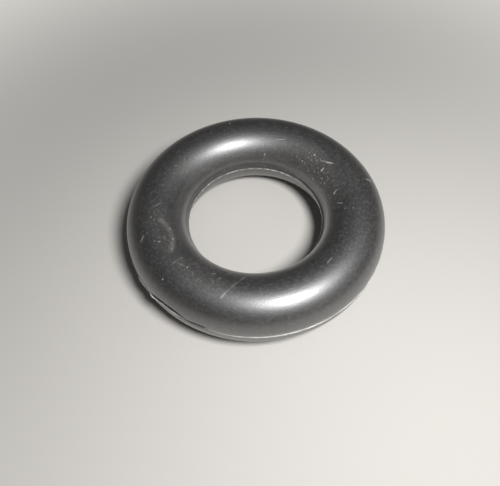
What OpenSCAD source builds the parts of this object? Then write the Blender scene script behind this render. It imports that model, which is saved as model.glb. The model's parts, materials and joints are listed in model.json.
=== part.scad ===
// Bobbin winder tire: a moulded rubber ring that is stretched over the rim of a small drive wheel
// and rubs against a larger wheel to turn it. It lies flat on z = 0 with its axis on +Z.

/* [Ring] */
// Diameter of the hole at the straight land, relaxed, mm
bore_d = 13; // [8:0.5:30]
// Thickness of the rubber from the hole to the tread, mm
section_w = 5.5; // [3:0.1:9]
// Straight land between the two rounded halves, mm
land_h = 0.6; // [0.4:0.05:1.5]

/* [Mould line] */
// Height of the mould line above the middle of the land, mm
line_rise = 0.1; // [-0.1:0.02:0.1]
// Thickness of the fin left at the mould line, mm
fin_t = 0.14; // [0.08:0.02:0.2]
// Reach of the fin beyond the tread, mm
outer_fin = 0.07; // [0.04:0.01:0.3]
// Reach of the fin into the hole, mm
inner_fin = 0.22; // [0.05:0.01:0.4]

/* [Trimming cuts] */
// Angle of the wedge that the trimming blade opened above the fin, degrees
cut_open = 50; // [20:1:70]
// Bearing of the middle of the long cut, degrees round from +X
long_at = 231.5; // [0:0.5:360]
// Depth of the long cut below the tread, mm
long_depth = 0.28; // [0.1:0.02:0.6]
// Uncut angle that stands between the long cut and the short cut, degrees
tooth = 1; // [0.5:0.5:20]
// Depth of the short cut below the tread, mm
short_depth = 0.1; // [0.04:0.01:0.4]

/* [Torn tab] */
// Angle from the start of the long cut to the blunt end of the tab, degrees
tab_lag = 1; // [0.5:0.5:10]
// Angle that the tab tapers over, degrees
tab_sweep = 9; // [4:1:30]
// Reach of the tab beyond the tread, mm
tab_reach = 0.19; // [0.08:0.01:0.5]

/* [Hidden] */
$fn = 96;
bore_r = bore_d / 2;
tread_r = bore_r + section_w;
round_r = section_w / 2;
mid_r = bore_r + round_r;
line_z = round_r + land_h / 2 + line_rise;
fin_low = line_z - fin_t / 2;
fin_high = line_z + fin_t / 2;
short_at = long_at + half_sweep(long_depth) + tooth + half_sweep(short_depth);
tab_at = long_at - half_sweep(long_depth) + tab_lag;
tab_root = tread_r - round_r / 4;

// A point in plan at a radius and a bearing.
function spot(r, bearing) = [r * cos(bearing), r * sin(bearing)];

// Angle from the middle of a straight cut of this depth to where it runs out of the tread.
function half_sweep(depth) = acos(1 - depth / tread_r);

// Half of the ring's cut face: two rounds, the land between them and the thin fin at the mould line.
module section() {
  translate([mid_r, round_r]) circle(r = round_r);
  translate([mid_r, round_r + land_h]) circle(r = round_r);
  translate([bore_r, round_r]) square([section_w, land_h]);
  translate([bore_r - inner_fin, fin_low]) square([section_w + inner_fin + outer_fin, fin_t]);
}

// The wedge that a straight blade opened across the tread, with the fin left under it as a ledge.
module blade_cut(bearing, depth) {
  reach = depth + section_w / 5;
  rotate([0, 0, bearing]) translate([tread_r - depth, 0, fin_high]) rotate([90, 0, 0])
    linear_extrude(height = tread_r, center = true)
      polygon([[0, 0], [reach, 0], [reach, reach * tan(cut_open)]]);
}

// A rag of fin left standing at the start of the long cut, blunt at one end and tapering to the other.
module torn_tab() {
  translate([0, 0, fin_low]) linear_extrude(height = fin_t) polygon([
    spot(tab_root, tab_at),
    spot(tread_r + tab_reach * 0.6, tab_at),
    spot(tread_r + tab_reach, tab_at + tab_sweep * 0.2),
    spot(tread_r, tab_at + tab_sweep),
    spot(tab_root, tab_at + tab_sweep)
  ]);
}

module tire() {
  color("#2b2826") difference() {
    union() {
      rotate_extrude() section();
      torn_tab();
    }
    blade_cut(long_at, long_depth);
    blade_cut(short_at, short_depth);
  }
}

tire();
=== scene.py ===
import json
import math
import bmesh
import bpy
from mathutils import Matrix, Vector, noise
from mathutils.bvhtree import BVHTree


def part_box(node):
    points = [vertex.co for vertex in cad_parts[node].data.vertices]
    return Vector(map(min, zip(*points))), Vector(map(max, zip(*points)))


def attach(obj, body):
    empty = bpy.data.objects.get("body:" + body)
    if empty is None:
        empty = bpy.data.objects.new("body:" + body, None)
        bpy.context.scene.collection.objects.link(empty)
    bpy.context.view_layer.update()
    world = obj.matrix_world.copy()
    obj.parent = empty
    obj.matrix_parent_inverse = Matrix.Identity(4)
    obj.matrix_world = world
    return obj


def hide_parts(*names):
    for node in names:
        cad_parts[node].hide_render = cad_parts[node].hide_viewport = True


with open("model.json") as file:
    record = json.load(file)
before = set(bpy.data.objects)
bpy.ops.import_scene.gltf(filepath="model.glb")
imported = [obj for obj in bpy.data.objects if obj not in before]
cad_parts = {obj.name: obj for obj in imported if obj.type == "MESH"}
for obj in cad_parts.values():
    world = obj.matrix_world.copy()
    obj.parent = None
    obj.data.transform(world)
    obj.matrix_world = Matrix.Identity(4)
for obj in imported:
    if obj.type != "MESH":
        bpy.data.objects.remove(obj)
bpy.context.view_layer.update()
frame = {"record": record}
mm = 0.001
lowCorner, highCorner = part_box("tire")
seat = frame["record"]["mounts"][0]
lineZ = seat["pos_m"][2] / mm  # height of the mould line


def hexColour(code):
    parts = [int(code[i:i + 2], 16) / 255 for i in (1, 3, 5)]
    return [c / 12.92 if c <= 0.04045 else ((c + 0.055) / 1.055) ** 2.4 for c in parts] + [1]


def addNode(tree, kind, settings={}, links={}):
    node = tree.nodes.new("ShaderNode" + kind)
    for key, value in settings.items():
        if isinstance(key, int) or key in node.inputs:
            node.inputs[key].default_value = value
        else:
            setattr(node, key, value)
    for key, source in links.items():
        if isinstance(source, bpy.types.Node):
            source = next(s for s in source.outputs if s.enabled)
        tree.links.new(source, node.inputs[key])
    return node


def newMaterial(name):
    material = bpy.data.materials.new(name)
    material.use_nodes = True
    return material, material.node_tree, material.node_tree.nodes["Principled BSDF"]


# Camera: pixels of the 500 x 486 frame, millimetres and degrees
cameraSet = {
    "frame": (500, 486),
    "focalPixels": 511.8,
    "distance": 48.46,  # from the ring's centre at the mould line
    "elevation": 54.23,
    "roll": -1.07,
    "ringAt": (255.34, 218.19),  # pixel of the ring's centre
    "sensorMm": 36,
    "clipMm": (1, 20000),
}


def pixelRay(pixel):
    width, height = cameraSet["frame"]
    focal = cameraSet["focalPixels"]
    return Vector(((pixel[0] - width / 2) / focal, (height / 2 - pixel[1]) / focal, 1)).normalized()


def placeCamera():
    tilt = math.radians(cameraSet["elevation"])
    back = Vector((0, -math.cos(tilt), math.sin(tilt)))
    up = Vector((0, math.sin(tilt), math.cos(tilt)))
    level = Matrix(((1, 0, 0), up, -back))
    rolled = Matrix.Rotation(math.radians(-cameraSet["roll"]), 3, "Z") @ level
    swing = Vector((0, 0, 1)).rotation_difference(pixelRay(cameraSet["ringAt"])).to_matrix()
    right, top, ahead = swing @ rolled
    data = bpy.data.cameras.new("photoCamera")
    data.sensor_width = cameraSet["sensorMm"]
    data.lens = cameraSet["focalPixels"] * data.sensor_width / cameraSet["frame"][0]
    data.clip_start, data.clip_end = [limit * mm for limit in cameraSet["clipMm"]]
    camera = bpy.data.objects.new("photoCamera", data)
    camera.matrix_world = Matrix((right, top, -ahead)).transposed().to_4x4()
    camera.location = (back * cameraSet["distance"] + Vector((0, 0, lineZ))) * mm
    bpy.context.scene.collection.objects.link(camera)
    bpy.context.scene.camera = camera
    bpy.context.view_layer.update()
    return camera


camera = placeCamera()
print("camera placed")

# Tire: millimetres, and bearings in degrees round from +X
tireSet = {
    "outerFin": 0.07,
    "innerFin": 0.22,
    "sectors": 24,  # equal parts of the turn
    "sectorSteps": 30,
    "upperSteps": 78,
    "lowerSteps": 24,
    "cutZone": 8,  # degrees of the upper round that the blade reaches
    "cutLifts": (0.04, 0.08),  # rings close above the fin, where a cut face starts
    "cutOpen": 76,  # degrees that a cut face stands up from the fin
    "longCut": {"at": 231.5, "depth": 0.23},
    "shortCut": {"at": 246, "depth": 0.14},
    "chatter": 0.012,  # roughness that the blade left on the cut faces
    "chatterPerMm": 5,
    # top of the outer fin, from its edge inwards: inset from the edge, share of the way that it is
    # drawn to the root, share of the sink, and how pale it stays under a cut, as torn rubber and a painted
    # highlight
    "finTop": [(0.02, 0.15, 0, 1), (0.04, 0.45, 0, 0.9), (0.055, 0.62, 0.5, 0)],
    # bearing, reach of the outer fin where it was trimmed, torn or left standing, and how pale it is there:
    # torn rubber, and a painted highlight where the fin's edge catches the light
    "outerEdge": [(0, 0.05, 1), (190, 0.03, 0.6), (202, 0.05, 1), (208, 0.035, 0.7), (209.5, 0, 0),
                  (211, 0.12, 1), (214.5, 0.1, 1), (217.5, 0.08, 0.8), (218.6, 0, 0.4), (220.1, 0.1, 1),
                  (221.9, 0.19, 1), (224, 0.1, 1), (227, 0.01, 1), (229.5, -0.03, 1), (232, 0, 1),
                  (235, 0, 1), (237, -0.07, 0.9), (240.5, -0.1, 0.5), (242, -0.11, 0), (248.3, -0.12, 0),
                  (249, -0.09, 0.9), (253, -0.03, 1), (256, 0.01, 1), (261, 0.05, 1), (267, 0.065, 1),
                  (320, 0.065, 1), (345, 0.05, 1), (360, 0.05, 1)],
    "edgeWaver": 0.25,  # share of the reach that wavers along the fin
    "waverPerMm": 2.2,
    "edgeRag": 0.2,  # finer rags along its edge
    "ragPerMm": 7,
    "ledgeSink": 0.3,  # groove along the root of the ledge that the long cut left
    "sinkOver": 0.15,  # depth of cut at which the groove is at its full depth
    "fadeOver": 0.1,  # depth of cut at which the ledge is as pale as finTop gives, torn rubber with a painted highlight
    # half of the inner fin, from its root to its edge: inset from the bore, then height off its face
    "finRoot": [(0, 0.42), (0.05, 0.3), (0.12, 0.14), (0.19, 0), (0.22, -0.02)],
    "leanAt": 150,  # bearing where the inner fin leans most on its root, against a sharp corner opposite
    "lean": (0.15, 0.5, 1.6),  # least, middle and swing
    "finDroop": 0.12,
    "beadMm": 0.3,  # spacing of the beads along the inner fin
    "beadSwell": 0.14,
    "beadGlint": (0.2, 0.65, 1.3),  # painted highlight in beads along the inner fin's edge: least, middle and swing
    "sharpAngle": 35,
    "mergeMm": 0.0005,
    "closeMm": 0.001,  # within this a vertex lies on a ring or a level of the section
}
boreR = seat["dims"]["r_mm"] + tireSet["innerFin"]
treadR = (highCorner.x - lowCorner.x) / 2 / mm - tireSet["outerFin"]
roundR = (treadR - boreR) / 2
midR = boreR + roundR
topZ = highCorner.z / mm - roundR  # centre of the upper round
finLow = lineZ - seat["dims"]["length_mm"] / 2
finHigh = lineZ + seat["dims"]["length_mm"] / 2
finEdge = treadR + tireSet["outerFin"]


def lineTo(bm, start, x, z):
    end = bmesh.ops.extrude_vert_indiv(bm, verts=[start])["verts"][0]
    end.co = (x, 0, z)
    return end


def arcRound(bm, start, centreZ, degrees, steps):
    made = bmesh.ops.spin(bm, geom=[start], cent=(midR, 0, centreZ), axis=(0, -1, 0),
                          angle=math.radians(degrees), steps=steps)
    return next(g for g in made["geom_last"] if isinstance(g, bmesh.types.BMVert))


def drawSection(bm):
    third = (finHigh - finLow) / 3
    spot = first = bmesh.ops.create_vert(bm, co=(boreR, 0, roundR))["vert"][0]
    spot = arcRound(bm, spot, roundR, 180, tireSet["lowerSteps"])
    for x, z in ((treadR, (roundR + finLow) / 2), (treadR, finLow), (finEdge, finLow + third / 2),
                 (finEdge, finLow + third * 2)):
        spot = lineTo(bm, spot, x, z)
    for inset, *_ in tireSet["finTop"]:
        spot = lineTo(bm, spot, finEdge - inset, finHigh)
    for z in (finHigh, *[finHigh + lift for lift in tireSet["cutLifts"]], topZ):
        spot = lineTo(bm, spot, treadR, z)
    spot = arcRound(bm, spot, topZ, tireSet["cutZone"], tireSet["cutZone"])
    spot = arcRound(bm, spot, topZ, 180 - tireSet["cutZone"], tireSet["upperSteps"])
    for inset, lift in tireSet["finRoot"]:
        spot = lineTo(bm, spot, boreR - inset, finHigh + lift)
    for inset, lift in reversed(tireSet["finRoot"]):
        spot = lineTo(bm, spot, boreR - inset, finLow - lift)
    bmesh.ops.contextual_create(bm, geom=[spot, first])


def edgeReach(bearing):
    stations = tireSet["outerEdge"]
    for first, second in zip(stations, stations[1:]):
        if first[0] <= bearing <= second[0]:
            share = (bearing - first[0]) / (second[0] - first[0])
            return [a + (b - a) * share for a, b in zip(first, second)][1:]


def cutRadius(cut, bearing):
    facing = math.cos(math.radians(bearing - cut["at"]))
    return (treadR - cut["depth"]) / max(facing, 0.5)  # past 60 degrees the blade is well outside


def wearInnerFin(vert, tornAndGlint, r, bearing):
    bead = noise.noise(vert.co / vert.co.xy.length * boreR / tireSet["beadMm"])
    least, middle, swing = tireSet["lean"]
    lean = min(1, max(least, middle + swing * math.cos(math.radians(bearing - tireSet["leanAt"]))))
    face = finHigh if vert.co.z > lineZ else finLow
    vert.co.z = face + (vert.co.z - face) * lean
    vert.co.z -= tireSet["finDroop"] * ((boreR - r) / tireSet["innerFin"]) ** 2
    # the inner fin's edge is painted pale in beads, a painted highlight
    if r < boreR - tireSet["innerFin"] + tireSet["closeMm"]:
        least, middle, swing = tireSet["beadGlint"]
        vert[tornAndGlint] = min(1, max(least, middle + swing * bead))
    return boreR - (boreR - r) * (1 + tireSet["beadSwell"] * bead)


def wearOuterFin(vert, tornAndGlint, r, bearing):
    z = vert.co.z
    close = tireSet["closeMm"]
    around = vert.co / vert.co.xy.length * treadR
    deep = cutRadius(tireSet["longCut"], bearing)
    shallow = cutRadius(tireSet["shortCut"], bearing)
    climb = max(0, z - finHigh) / math.tan(math.radians(tireSet["cutOpen"]))
    limit = min(deep, shallow) + climb + tireSet["chatter"] * noise.noise(around * tireSet["chatterPerMm"])
    sink = min(1, max(0, treadR - deep) / tireSet["sinkOver"]) * tireSet["ledgeSink"]
    reach, paleAndGlint = edgeReach(bearing)
    waver = tireSet["edgeWaver"] * noise.noise(around * tireSet["waverPerMm"])
    reach *= 1 + waver + tireSet["edgeRag"] * noise.noise(around * tireSet["ragPerMm"])
    if z < finLow + close:
        return treadR + min(0, reach) / 2  # the blade bevels the corner below as well
    if r > treadR + close:
        newR = treadR + reach
        # the fin's edge is painted pale: torn rubber, and a painted highlight where the edge catches the
        # light
        vert[tornAndGlint] = paleAndGlint
        if z > finHigh - close:  # drawn back to the root, which a cut sinks into a groove
            _, share, sunk, left = min(tireSet["finTop"], key=lambda row: abs(finEdge - row[0] - r))
            newR += (min(limit, treadR, newR) - newR) * share
            vert.co.z -= sink * sunk
            vert[tornAndGlint] *= 1 + (left - 1) * min(1, max(0, treadR - limit) / tireSet["fadeOver"])
        return newR
    if z <= finHigh - close or limit >= r:
        return r
    if z < finHigh + close:
        vert.co.z -= sink
    return limit


def wearFins(bm):
    tornAndGlint = bm.verts.layers.float.new("tornAndGlint")  # how pale and matt the rubber is left: torn rubber, and a painted highlight along the fin edges
    close = tireSet["closeMm"]
    for vert in bm.verts:
        r = newR = math.hypot(vert.co.x, vert.co.y)
        bearing = math.degrees(math.atan2(vert.co.y, vert.co.x)) % 360
        if r < boreR - close:
            newR = wearInnerFin(vert, tornAndGlint, r, bearing)
        elif r > midR and vert.co.z > finLow - close:
            newR = wearOuterFin(vert, tornAndGlint, r, bearing)
        vert.co.xy *= newR / r


def makeTire():
    bm = bmesh.new()
    drawSection(bm)
    sectors = tireSet["sectors"]
    bmesh.ops.spin(bm, geom=bm.verts[:] + bm.edges[:], cent=(0, 0, 0), axis=(0, 0, 1),
                   angle=math.tau / sectors, steps=tireSet["sectorSteps"])
    bmesh.ops.spin(bm, geom=bm.verts[:] + bm.edges[:] + bm.faces[:], cent=(0, 0, 0), axis=(0, 0, 1),
                   angle=math.tau * (sectors - 1) / sectors, steps=sectors - 1, use_duplicate=True)
    bmesh.ops.remove_doubles(bm, verts=bm.verts, dist=tireSet["mergeMm"])
    wearFins(bm)
    bmesh.ops.recalc_face_normals(bm, faces=bm.faces)
    # spin leaves the faces in another order each run, so they are put in order by their place
    for place, face in enumerate(sorted(bm.faces, key=lambda face: face.calc_center_median().to_tuple(5))):
        face.index = place
    bm.faces.sort()
    bmesh.ops.scale(bm, vec=(mm, mm, mm), verts=bm.verts)
    mesh = bpy.data.meshes.new("tire")
    bm.to_mesh(mesh)
    skin = BVHTree.FromBMesh(bm)
    bm.free()
    mesh.shade_smooth()
    mesh.set_sharp_from_angle(angle=math.radians(tireSet["sharpAngle"]))
    tire = bpy.data.objects.new("mouldedTire", mesh)
    bpy.context.scene.collection.objects.link(tire)
    return tire, skin


tire, tireSkin = makeTire()
print("tire moulded:", len(tire.data.polygons), "faces")

# Wear on the rubber, with dust whose specks and haze also paint sparkle and sheen near the highlights:
# strokes between two pixels of the frame, or single specks, with sizes in millimetres
wearAndSheenSet = {
    "marks": [
        {"kind": "bright", "strength": 1.0, "width": 0.2,
         "strokes": [((324.2, 161.4), (333, 163.7)), ((333.3, 194.5), (336.2, 190.4)),
                     ((320.9, 171.8), (323.7, 167.9)), ((365.2, 178.8), (371.9, 181.9))],
         "specks": [(187.5, 267.6), (162.5, 279), (264.6, 154.4), (302.2, 161.2), (322.4, 178.4),
                    (313, 178.7), (314.7, 154.7), (173.2, 238.9), (214, 185), (229.6, 123.4)]},
        {"kind": "broad", "strength": 0.42, "width": 0.26,
         "strokes": [((219.7, 298.6), (226.6, 291.6)), ((140.5, 243.5), (143.7, 235.1))],
         "specks": [(171.7, 248.6), (169.8, 228.8)]},
        {"kind": "plain", "strength": 0.5, "width": 0.14,
         "strokes": [((319.6, 160.4), (326, 161.8)), ((335, 192), (338.5, 188.3)),
                     ((336.4, 202.8), (343.4, 203.2)), ((326.9, 173.4), (328.6, 171.4)),
                     ((329, 199.4), (331, 197)), ((274, 139.9), (285.7, 139.5)), ((327, 264), (332, 257)),
                     ((157.6, 241.9), (161.5, 241.6)), ((150.6, 218.4), (152, 216)),
                     ((211, 274.2), (216.6, 273.6)), ((320.6, 184.2), (321.5, 182)),
                     ((313.9, 169), (314.8, 173)), ((323.7, 186), (324.6, 181))],
         "specks": [(154.8, 241), (147.1, 232.8), (303, 151.3), (305.5, 150.6), (312.5, 161.5),
                    (315.5, 162.5), (287.5, 127.4), (297.6, 144.1), (176.2, 165.8), (212.9, 169.4),
                    (174, 172.5), (226, 153), (160.2, 203.3), (345.3, 208.6), (331.8, 181.2),
                    (142.5, 273.9), (334, 208), (311.7, 154.9), (319.3, 176.1)]},
        {"kind": "faint", "strength": 0.2, "width": 0.23,
         "strokes": [((192.7, 271.4), (192, 276.3)), ((196.6, 281.2), (198.8, 278.8)),
                     ((162.9, 236.3), (166.6, 240.2)), ((229, 289.2), (240.2, 280.5)),
                     ((239, 281.4), (247, 276)), ((172, 264.3), (177, 260.3)), ((176.5, 260.5), (183.2, 257)),
                     ((175.5, 262.3), (187, 267)), ((327.4, 189.7), (329, 184.8)),
                     ((197, 267.6), (199.4, 266.2)), ((216.7, 280.1), (221.3, 277.7)),
                     ((153.2, 207.2), (159.6, 203.3)), ((220.6, 297.4), (231, 287.6))],
         "specks": [(212.7, 288.7), (162.9, 184.6), (317, 171), (308, 157), (353.2, 207.5), (336.1, 146.3)]},
        {"kind": "scuff", "strength": 0.19, "width": 0.8,
         "strokes": [((160, 219.2), (163.6, 222)), ((163.4, 221.8), (167, 226)),
                     ((166.8, 225.4), (170.6, 232.4)), ((170.4, 231.6), (173.4, 240)),
                     ((172.8, 238.4), (172.6, 245)), ((172.2, 244), (171, 250))],
         "specks": []},
    ],
    "speckMm": 0.01,  # length that a single speck is drawn with
    "softEdge": 0.6,  # share of a mark's width that fades out
    "waverMm": 0.16,  # how far the marks wander off straight
    "wanderMm": 0.5,  # along how much of a mark
    "breakMm": 0.14,  # spacing of the gaps in the marks
    "breakUp": {"From Min": 0.38, "From Max": 0.62, "To Min": 0.4},
    # how thick the dust lies, and strokes along the middle of each patch; the middle patch lies along the far
    # highlight, where its specks are painted sparkle as well as dust
    "dustAndSparkle": [(1.0, [((300, 150), (322, 172)), ((318, 170), (332, 196))]),
             (0.7, [((178, 170), (215, 153)), ((215, 153), (258, 148)), ((256, 148), (300, 152))]),
             (0.5, [((152, 208), (176, 252)), ((182, 262), (216, 288))])],
    "dustAndSparkleWidth": 3.6,
    # a pale haze over the dust patches: dust, and partly a painted sheen
    "hazeAndSheen": 0.08,
    "cellMm": 0.27,  # spacing of the specks of dust and of the painted sparkle
    "crowd": 0.6,  # share of the cells that hold a speck where the dust is thickest
    "dustAndSparkleSpeck": {"From Min": 0.25, "From Max": 0.1, "To Max": 0.6},  # by the distance from its middle
}


def surfaceAt(pixel):
    direction = camera.matrix_world.to_3x3() @ (pixelRay(pixel) * Vector((1, 1, -1)))
    spot, normal, _, _ = tireSkin.ray_cast(camera.matrix_world.translation, direction)
    return spot, normal


def drawStroke(tree, coords, start, end, width):
    startSpot, normal = surfaceAt(start)
    endSpot = surfaceAt(end)[0]
    along = endSpot - startSpot
    shortest = wearAndSheenSet["speckMm"] * mm
    if along.length < shortest:
        along = normal.orthogonal() * shortest
    side = normal.cross(along).normalized()
    turned = Matrix((along.normalized(), side, along.cross(side).normalized())).transposed()
    halfWidth = width * mm / 2
    halfSizes = (along.length / 2 + halfWidth, halfWidth, max(along.length / 4, halfWidth * 2))
    # the gradient is added before its mapping: the other way round, this many strokes turn the rubber black
    stroke = addNode(tree, "TexGradient", {"gradient_type": "SPHERICAL"})
    place = addNode(tree, "Mapping", {"vector_type": "TEXTURE", "Location": (startSpot + endSpot) / 2,
                                      "Rotation": turned.to_euler(), "Scale": halfSizes}, {"Vector": coords})
    tree.links.new(place.outputs[0], stroke.inputs["Vector"])
    return stroke


def drawMarks(tree, coords, strokes, width, strength):
    marks = None
    for start, end in strokes:
        stroke = drawStroke(tree, coords, start, end, width)
        marks = addNode(tree, "Math", {"operation": "MAXIMUM"}, {0: marks, 1: stroke}) if marks else stroke
    return addNode(tree, "MapRange", {"From Max": wearAndSheenSet["softEdge"], "To Max": strength}, {"Value": marks})


def drawWearAndSheen(tree, coords):
    wander = addNode(tree, "TexNoise", {"Scale": 1 / (wearAndSheenSet["wanderMm"] * mm), "Detail": 2},
                     {"Vector": coords}).outputs["Color"]
    wander = addNode(tree, "VectorMath", {"operation": "SUBTRACT", 1: (0.5, 0.5, 0.5)}, {0: wander})
    loose = addNode(tree, "VectorMath", {"operation": "MULTIPLY_ADD", 1: [wearAndSheenSet["waverMm"] * mm] * 3},
                    {0: wander, 2: coords})
    breakUp = addNode(tree, "TexNoise", {"Scale": 1 / (wearAndSheenSet["breakMm"] * mm), "Detail": 3},
                      {"Vector": coords})
    breakUp = addNode(tree, "MapRange", wearAndSheenSet["breakUp"], {"Value": breakUp})
    wearAndSheen = None
    for kind in wearAndSheenSet["marks"]:
        strokes = kind["strokes"] + [(speck, speck) for speck in kind["specks"]]
        marks = drawMarks(tree, loose, strokes, kind["width"], kind["strength"])
        wearAndSheen = addNode(tree, "Math", {"operation": "MAXIMUM"}, {0: wearAndSheen, 1: marks}) if wearAndSheen else marks
    dustAndSparkle = None
    for thickness, strokes in wearAndSheenSet["dustAndSparkle"]:
        patch = drawMarks(tree, coords, strokes, wearAndSheenSet["dustAndSparkleWidth"], thickness)
        dustAndSparkle = addNode(tree, "Math", {"operation": "MAXIMUM"}, {0: dustAndSparkle, 1: patch}) if dustAndSparkle else patch
    # a pale haze in the dust patches: dust, and partly a painted sheen from the highlight's tails
    hazeAndSheen = addNode(tree, "Math", {"operation": "MULTIPLY", 1: wearAndSheenSet["hazeAndSheen"]}, {0: dustAndSparkle})
    wearAndSheen = addNode(tree, "Math", {"operation": "MAXIMUM"}, {0: wearAndSheen, 1: hazeAndSheen})
    wearAndSheen = addNode(tree, "Math", {"operation": "MULTIPLY"}, {0: wearAndSheen, 1: breakUp})
    # pale specks of dust, which along the far highlight also paint its sparkle
    cells = addNode(tree, "TexVoronoi", {"Scale": 1 / (wearAndSheenSet["cellMm"] * mm)}, {"Vector": loose})
    specks = addNode(tree, "MapRange", wearAndSheenSet["dustAndSparkleSpeck"], {"Value": cells.outputs["Distance"]})
    chosen = addNode(tree, "SeparateColor", {}, {"Color": cells.outputs["Color"]})
    crowd = addNode(tree, "Math", {"operation": "MULTIPLY", 1: wearAndSheenSet["crowd"]}, {0: dustAndSparkle})
    chosen = addNode(tree, "Math", {"operation": "LESS_THAN"}, {0: chosen, 1: crowd})
    specks = addNode(tree, "Math", {"operation": "MULTIPLY"}, {0: specks, 1: chosen})
    specks = addNode(tree, "Math", {"operation": "MULTIPLY"}, {0: specks, 1: dustAndSparkle})
    return addNode(tree, "Math", {"operation": "MAXIMUM"}, {0: wearAndSheen, 1: specks})


# Moulded black rubber: a satin skin off a polished mould, so the gloss is soft and a little grainy, with a
# breath of pale bloom, grey rubbed marks from handling, pale dust whose specks and haze also paint sparkle
# and sheen near the highlights, and paler matt rubber where the fin was cut and torn, also painted as a
# highlight along the fin edges
rubberSet = {
    "colour": "#1c1a19",
    "deepColour": "#0c0b0b",
    "rubbedAndSheenColour": "#c6c3be",
    # pale of the torn rubber, also used as a painted highlight along the fin edges
    "tornAndGlintColour": "#d2cfca",
    "roughness": {"From Min": 0.1, "From Max": 0.9, "To Min": 0.43, "To Max": 0.55},
    "rubbedRoughness": 0.6,
    "ior": 1.65,
    "gloss": 1.0,
    "polish": 1.0,  # the shine that the mould left on the skin
    "polishIor": 1.85,
    "polishRoughness": 0.38,
    "grainMm": 0.12,  # finer on the real skin, drawn as coarse as it shows
    "grainDeep": 0.017,
    "grainBump": 0.5,
    "grainTone": {"From Min": 0.3, "From Max": 0.7, "To Min": -0.3, "To Max": 0.7},
    "mottleMm": 0.9,
    "tornAndGlintTone": {"From Min": 0.35, "From Max": 0.6, "To Min": 0.45},  # by the mottle; patchy paleness of the torn rubber and of the painted highlight on the fins
    "bloomMm": 0.24,  # finer on the real skin, drawn as coarse as it shows
    "bloomTone": {"From Min": 0.47, "From Max": 0.72, "To Max": 0.07},
}


def makeRubber():
    material, tree, shader = newMaterial("mouldedBlackRubber")
    coords = addNode(tree, "TexCoord").outputs["Object"]
    grain = addNode(tree, "TexNoise", {"Scale": 1 / (rubberSet["grainMm"] * mm), "Detail": 2},
                    {"Vector": coords})
    mottle = addNode(tree, "TexNoise", {"Scale": 1 / (rubberSet["mottleMm"] * mm), "Detail": 5,
                                        "Roughness": 0.6}, {"Vector": coords})
    wearAndSheen = drawWearAndSheen(tree, coords)
    bloom = addNode(tree, "TexNoise", {"Scale": 1 / (rubberSet["bloomMm"] * mm), "Detail": 3},
                    {"Vector": coords})
    bloom = addNode(tree, "MapRange", rubberSet["bloomTone"], {"Value": bloom})
    wearAndSheen = addNode(tree, "Math", {"operation": "ADD"}, {0: wearAndSheen, 1: bloom})
    tornAndGlint = addNode(tree, "Attribute", {"attribute_name": "tornAndGlint"}).outputs["Fac"]

    # a Mix node's colours are its sockets 6 and 7, and its plain values 2 and 3
    speckle = addNode(tree, "MapRange", rubberSet["grainTone"], {"Value": grain})
    speckle = addNode(tree, "Math", {"operation": "ADD"}, {0: mottle, 1: speckle})
    colour = addNode(tree, "Mix", {"data_type": "RGBA", 6: hexColour(rubberSet["deepColour"]),
                                   7: hexColour(rubberSet["colour"])}, {0: speckle})
    # paler along the fins: torn rubber, and a painted highlight on the fin edges
    patchy = addNode(tree, "MapRange", rubberSet["tornAndGlintTone"], {"Value": mottle})
    tornAndGlintPatch = addNode(tree, "Math", {"operation": "MULTIPLY"}, {0: tornAndGlint, 1: patchy})
    colour = addNode(tree, "Mix", {"data_type": "RGBA", 7: hexColour(rubberSet["tornAndGlintColour"])},
                     {0: tornAndGlintPatch, 6: colour})
    # pale marks, dust and bloom, with painted sparkle and sheen from the dust patches
    colour = addNode(tree, "Mix", {"data_type": "RGBA", 7: hexColour(rubberSet["rubbedAndSheenColour"])},
                     {0: wearAndSheen, 6: colour})
    satin = addNode(tree, "MapRange", rubberSet["roughness"], {"Value": speckle})
    matt = addNode(tree, "Math", {"operation": "MAXIMUM"}, {0: wearAndSheen, 1: tornAndGlint})
    rough = addNode(tree, "Mix", {3: rubberSet["rubbedRoughness"]}, {0: matt, 2: satin})
    bump = addNode(tree, "Bump", {"Strength": rubberSet["grainBump"],
                                  "Distance": rubberSet["grainDeep"] * mm}, {"Height": grain})
    tree.links.new(colour.outputs[2], shader.inputs["Base Color"])
    tree.links.new(rough.outputs[0], shader.inputs["Roughness"])
    tree.links.new(bump.outputs[0], shader.inputs["Normal"])
    tree.links.new(bump.outputs[0], shader.inputs["Coat Normal"])
    shader.inputs["IOR"].default_value = rubberSet["ior"]
    shader.inputs["Specular IOR Level"].default_value = rubberSet["gloss"]
    shader.inputs["Coat Weight"].default_value = rubberSet["polish"]
    shader.inputs["Coat Roughness"].default_value = rubberSet["polishRoughness"]
    shader.inputs["Coat IOR"].default_value = rubberSet["polishIor"]
    return material


tire.data.materials.append(makeRubber())
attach(tire, "root")
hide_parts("tire")
print("rubber finished")

# Floor: matt paper, an even pale sheet without gloss, large enough to reach past every view
floorSet = {
    "halfWidth": 3.0,  # metres
    "colour": "#cbc8c3",
    "roughness": 0.9,
    "fadeMm": (20, 70),  # from the ring's centre, where the lit floor passes into the backdrop's colour
    "backdrop": "#dedbd6",
}


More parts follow.
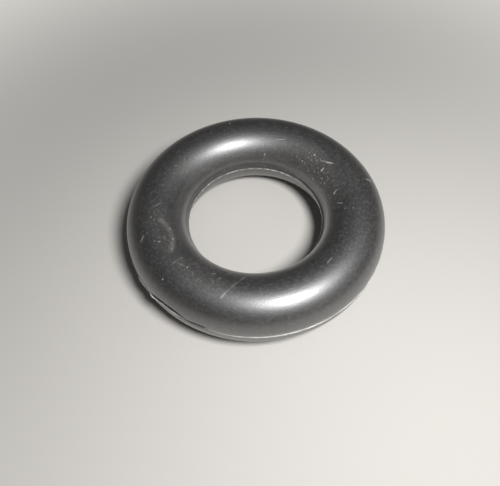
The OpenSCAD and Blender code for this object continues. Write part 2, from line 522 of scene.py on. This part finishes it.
def makeFloor():
    bm = bmesh.new()
    bmesh.ops.create_grid(bm, x_segments=1, y_segments=1, size=floorSet["halfWidth"])
    mesh = bpy.data.meshes.new("floor")
    bm.to_mesh(mesh)
    bm.free()
    material, tree, shader = newMaterial("mattPaper")
    shader.inputs["Base Color"].default_value = hexColour(floorSet["colour"])
    shader.inputs["Roughness"].default_value = floorSet["roughness"]
    coords = addNode(tree, "TexCoord").outputs["Object"]
    away = addNode(tree, "VectorMath", {"operation": "LENGTH"}, {0: coords}).outputs["Value"]
    near, far = floorSet["fadeMm"]
    fade = addNode(tree, "MapRange", {"interpolation_type": "SMOOTHSTEP", "From Min": near * mm,
                                      "From Max": far * mm}, {"Value": away})
    seen = addNode(tree, "LightPath").outputs["Is Camera Ray"]
    fade = addNode(tree, "Math", {"operation": "MULTIPLY"}, {0: fade, 1: seen})
    backdrop = addNode(tree, "Emission", {"Color": hexColour(floorSet["backdrop"])})
    both = addNode(tree, "MixShader", {}, {0: fade, 1: shader, 2: backdrop})
    tree.links.new(both.outputs[0], tree.nodes["Material Output"].inputs["Surface"])
    mesh.materials.append(material)
    floor = bpy.data.objects.new("floor", mesh)
    bpy.context.scene.collection.objects.link(floor)


makeFloor()

# Light: one soft key up to the right of the camera, and an even pale surround, in millimetres and watts
lightSet = {
    "keyAt": (22.6, -31.0, 67.5),
    "keySize": 23,
    "keyWatts": 0.07,
    "roomColour": "#ffffff",
    "roomStrength": 0.07,
}


def placeLights():
    data = bpy.data.lights.new("key", "AREA")
    data.shape = "DISK"
    data.size = lightSet["keySize"] * mm
    data.energy = lightSet["keyWatts"]
    key = bpy.data.objects.new("key", data)
    key.location = Vector(lightSet["keyAt"]) * mm
    key.rotation_euler = key.location.to_track_quat("Z", "Y").to_euler()
    bpy.context.scene.collection.objects.link(key)
    world = bpy.data.worlds.new("room")
    world.use_nodes = True
    tree = world.node_tree
    room = tree.nodes["Background"]
    room.inputs["Color"].default_value = hexColour(lightSet["roomColour"])
    room.inputs["Strength"].default_value = lightSet["roomStrength"]
    backdrop = addNode(tree, "Background", {"Color": hexColour(floorSet["backdrop"])})
    seen = addNode(tree, "LightPath").outputs["Is Camera Ray"]
    both = addNode(tree, "MixShader", {}, {0: seen, 1: room, 2: backdrop})
    tree.links.new(both.outputs[0], tree.nodes["World Output"].inputs["Surface"])
    bpy.context.scene.world = world


placeLights()
bpy.context.scene.view_settings.view_transform = "Standard"
print("floor and light set")
